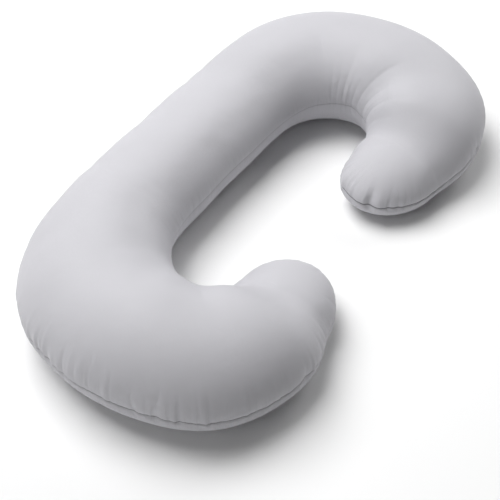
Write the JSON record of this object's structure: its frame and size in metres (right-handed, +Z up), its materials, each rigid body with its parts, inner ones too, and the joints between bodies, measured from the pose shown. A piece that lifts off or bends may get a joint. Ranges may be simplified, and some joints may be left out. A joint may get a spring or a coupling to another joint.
{
  "type": "pregnancy pillow",
  "caption": "C-shaped body pillow in plain smooth cloth, filled firmly, with curled round ends and a drawn-in edge seam.",
  "frame": {"origin": "under the middle of the pillow's box, on the surface it rests on", "axes": "+X along the back of the C, +Z up through the crown, -Y out of the mouth between the curled ends"},
  "size_m": [1.4074, 0.7694, 0.248],
  "materials": {
    "cloth": "smooth, silky"
  },
  "bodies": {
    "root": {"pillow": "cloth"}
  },
  "joints": []
}
